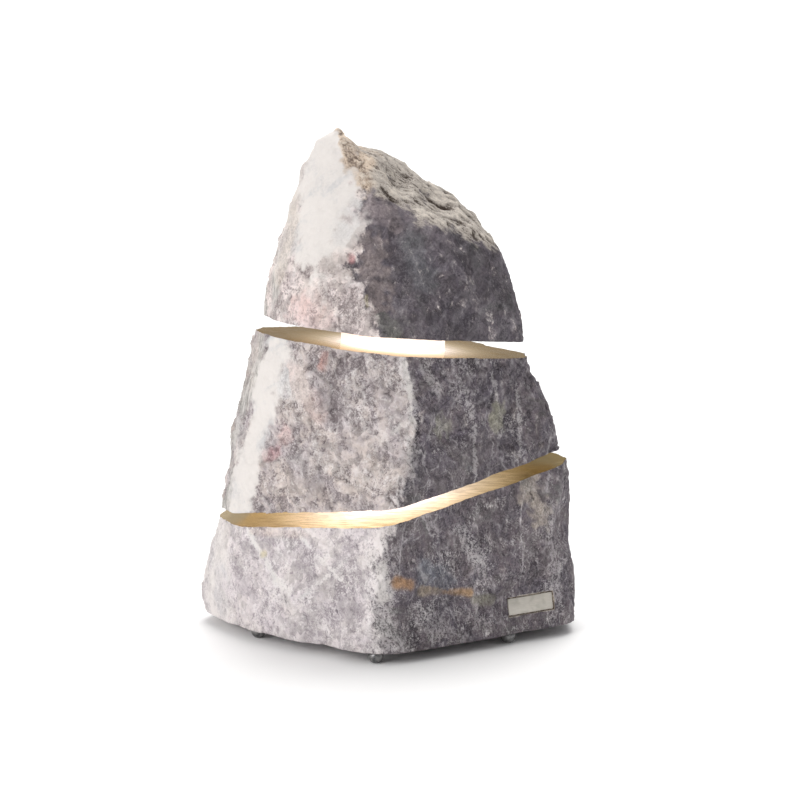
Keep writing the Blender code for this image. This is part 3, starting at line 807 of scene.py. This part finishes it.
def cutSeat(stone, look):
    bm = bmesh.new()
    bmesh.ops.create_cube(bm, size=1.0)
    reach, spare = look["cutterReach"], 2 * look["margin"]
    size = Vector((look["width"] + spare, reach, look["height"] + spare))
    floor = look["depth"] + look["seatGap"]
    turned = plateTurn(look)
    for v in bm.verts:
        spot = Vector((v.co.x * size.x, v.co.y * size.y + floor - reach / 2, v.co.z * size.z))
        v.co = turned @ spot + Vector(look["at"]) + datum
    cutter = addToScene("plateSeat", asMesh(bm, "plateSeat"))
    cut = stone.modifiers.new("seat", "BOOLEAN")
    cut.operation = "DIFFERENCE"
    cut.solver = "FAST"
    cut.object = cutter
    result = evaluated(stone)
    stone.modifiers.clear()
    old = stone.data
    stone.data = result
    bpy.data.meshes.remove(old)
    bpy.data.objects.remove(cutter)


cutSeat(stones[0], plate)
print("plate seat cut:", len(stones[0].data.polygons), "faces")


def plateMaterial(look):
    made, tree, shader, where = newMaterial("brushed_plate")
    lines = grainNoise(tree, stretched(tree, where, (120.0, 120.0, 2600.0)), 1.0, 3, 0.6)
    dull = grainNoise(tree, where, 90, 4, 0.6)
    metal = mixColours(tree, remap(tree, dull, 0.35, 0.65), look["metal"], look["metalWorn"])
    metal = mixColours(tree, remap(tree, lines, 0.3, 0.7, 0.0, 0.3), metal, look["metalLines"])
    tree.links.new(metal, shader.inputs["Base Color"])
    shader.inputs["Metallic"].default_value = look["metallic"]
    tree.links.new(remap(tree, dull, 0.3, 0.7, *look["gloss"]), shader.inputs["Roughness"])
    bumpInto(tree, shader, lines, look["lineBump"], look["lineDepth"])
    return made


def buildPlate(look):
    bm = bmesh.new()
    bmesh.ops.create_cube(bm, size=1.0)
    thick = look["depth"]
    for v in bm.verts:
        v.co = Vector((v.co.x * look["width"], v.co.y * thick + thick / 2, v.co.z * look["height"]))
    corners = [e for e in bm.edges if abs(e.verts[0].co.y - e.verts[1].co.y) > thick / 2]
    rounding = {"profile": 0.5, "affect": "EDGES"}
    bmesh.ops.bevel(bm, geom=corners, offset=look["cornerRadius"], segments=4, **rounding)
    face = [e for e in bm.edges if e.verts[0].co.y < 1e-6 and e.verts[1].co.y < 1e-6]
    bmesh.ops.bevel(bm, geom=face, offset=look["edgeRadius"], segments=3, **rounding)
    turned = plateTurn(look)
    for v in bm.verts:
        v.co = turned @ v.co + Vector(look["at"]) + datum
    mesh = asMesh(bm, "namePlate")
    mesh.materials.append(plateMaterial(look))
    for polygon in mesh.polygons:
        polygon.use_smooth = True
    mesh.set_sharp_from_angle(angle=math.radians(35))
    standsFor(addToScene("namePlate", mesh), "name_plate")


buildPlate(plate)
print("name plate made")


# the spots give each ball's node, and its x and y in millimetres from the datum
feet = {
    "radius": 6.5 * mm, "flat": 2.0 * mm, "top": 9.7 * mm, "segments": 48, "rings": 18,
    "spots": {
        "footFront": ("foot_front", -11, -128), "footLeft": ("foot_left", -115, -39),
        "footRight": ("foot_right", 104, -58), "footBack": ("foot_back", 12, 108)},
    "steelDark": (0.13, 0.13, 0.135), "steelBright": (0.28, 0.275, 0.27), "gloss": (0.24, 0.42),
}


def steelMaterial(look):
    made, tree, shader, where = newMaterial("ball_steel")
    wear = grainNoise(tree, where, 260, 5, 0.65)
    steel = mixColours(tree, remap(tree, wear, 0.35, 0.65), look["steelDark"], look["steelBright"])
    tree.links.new(steel, shader.inputs["Base Color"])
    shader.inputs["Metallic"].default_value = 1.0
    tree.links.new(remap(tree, wear, 0.3, 0.7, *look["gloss"]), shader.inputs["Roughness"])
    return made


def ballOutline(look):
    # half of the ball's outline, from the middle of its top down to the middle of its small flat
    radius, flat = look["radius"], look["flat"]
    middle = math.sqrt(radius ** 2 - flat ** 2)
    first, last = math.asin((look["top"] - middle) / radius), -math.acos(flat / radius)
    arc = [first + (last - first) * i / look["rings"] for i in range(look["rings"] + 1)]
    outline = [(0.0, look["top"])] + [(radius * math.cos(a), middle + radius * math.sin(a)) for a in arc]
    outline[-1] = (flat, 0.0)
    return outline + [(0.0, 0.0)]


def buildFeet(look):
    steel = steelMaterial(look)
    for name, (node, x, y) in look["spots"].items():
        bm = bmesh.new()
        line = [bm.verts.new((r, 0.0, z)) for r, z in ballOutline(look)]
        edges = [bm.edges.new(pair) for pair in zip(line, line[1:])]
        bmesh.ops.spin(
            bm, geom=line + edges, cent=(0, 0, 0), axis=(0, 0, 1), angle=2 * math.pi,
            steps=look["segments"], use_merge=True)
        bmesh.ops.remove_doubles(bm, verts=bm.verts[:], dist=weldDistance)
        bmesh.ops.recalc_face_normals(bm, faces=bm.faces[:])
        for v in bm.verts:
            v.co += Vector((x * mm, y * mm, 0.0)) + datum
        for face in bm.faces:
            face.smooth = True
        mesh = asMesh(bm, name)
        mesh.set_sharp_from_angle(angle=math.radians(40))
        mesh.materials.append(steel)
        standsFor(addToScene(name, mesh), node)


buildFeet(feet)
print("feet made")


core = {
    "edge": (1.0, 0.81, 0.71), "cloudiness": 0.2, "gloss": 0.35,
    "opal": (0.56, 0.53, 0.47), "opalPale": (0.60, 0.575, 0.53),
    "drums": {
        "lower_light_drum": {"strength": 0.93, "colour": (1.0, 0.88, 0.87)},
        "upper_light_drum": {"strength": 0.98, "colour": (1.0, 0.79, 0.68)}},
}


def lightCore(look):
    for name, lamp in look["drums"].items():
        made, tree, shader, where = newMaterial("lit_opal_" + name.split("_")[0])
        cloud = grainNoise(tree, where, 60, 3, 0.5)
        tree.links.new(mixColours(tree, cloud, look["opal"], look["opalPale"]), shader.inputs["Base Color"])
        shader.inputs["Roughness"].default_value = look["gloss"]
        clouded = remap(tree, cloud, 0.3, 0.7, 0.0, look["cloudiness"])
        glow = mixColours(tree, clouded, lamp["colour"], look["edge"])
        tree.links.new(glow, shader.inputs["Emission Color"])
        shader.inputs["Emission Strength"].default_value = lamp["strength"]
        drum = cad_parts[name]
        drum.data.materials.clear()
        drum.data.materials.append(made)


lightCore(core)
print("core lit")


studio = {
    "floorColour": (0.96, 0.96, 0.96), "floorSize": 80.0, "floorRoughness": 0.9, "floorSpecular": 0.1,
    "sky": (1.0, 1.0, 1.0), "skyStrength": 0.54, "lampDistance": 3.0,
    "lamps": {
        "overhead": {
            "from": (0.10, 0.50, 0.86), "strength": 2.45, "softness": 48.0,
            "colour": (1.0, 0.99, 0.98)},
        "key": {
            "from": (-0.70, -0.60, 0.40), "strength": 1.55, "softness": 40.0,
            "colour": (1.0, 0.985, 0.97)}},
    "cameraPlace": (0.01195, -2.59975, 0.64113), "cameraAim": (0.01195, -0.03543, 0.212),
    "lens": 134.5, "sensor": 36.0, "farClip": 200.0,
}


def pointAt(obj, target):
    obj.rotation_euler = (Vector(target) - obj.location).to_track_quat("-Z", "Y").to_euler()


def layFloor(look):
    bm = bmesh.new()
    bmesh.ops.create_grid(bm, x_segments=2, y_segments=2, size=look["floorSize"] / 2)
    floor = addToScene("floor", asMesh(bm, "floor"))
    made, _, shader, _ = newMaterial("pale_floor")
    shader.inputs["Base Color"].default_value = (*look["floorColour"], 1.0)
    shader.inputs["Roughness"].default_value = look["floorRoughness"]
    shader.inputs["Specular IOR Level"].default_value = look["floorSpecular"]
    floor.data.materials.append(made)


def hangLamps(look):
    world = bpy.data.worlds.new("studio")
    bpy.context.scene.world = world
    world.use_nodes = True
    sky = world.node_tree.nodes["Background"]
    sky.inputs["Color"].default_value = (*look["sky"], 1.0)
    sky.inputs["Strength"].default_value = look["skyStrength"]
    for name, lamp in look["lamps"].items():
        light = bpy.data.lights.new(name, "SUN")
        light.energy = lamp["strength"]
        light.angle = math.radians(lamp["softness"])
        light.color = lamp["colour"]
        placed = addToScene(name, light)
        placed.location = Vector(lamp["from"]) * look["lampDistance"]
        pointAt(placed, (0.0, 0.0, 0.0))


def placeCamera(look):
    lens = bpy.data.cameras.new("camera")
    lens.lens = look["lens"]
    lens.sensor_width = look["sensor"]
    lens.clip_end = look["farClip"]
    camera = addToScene("camera", lens)
    camera.location = look["cameraPlace"]
    pointAt(camera, look["cameraAim"])
    bpy.context.scene.camera = camera
    bpy.context.scene.view_settings.view_transform = "Standard"


layFloor(studio)
hangLamps(studio)
placeCamera(studio)
print("studio ready")

bpy.context.view_layer.update()
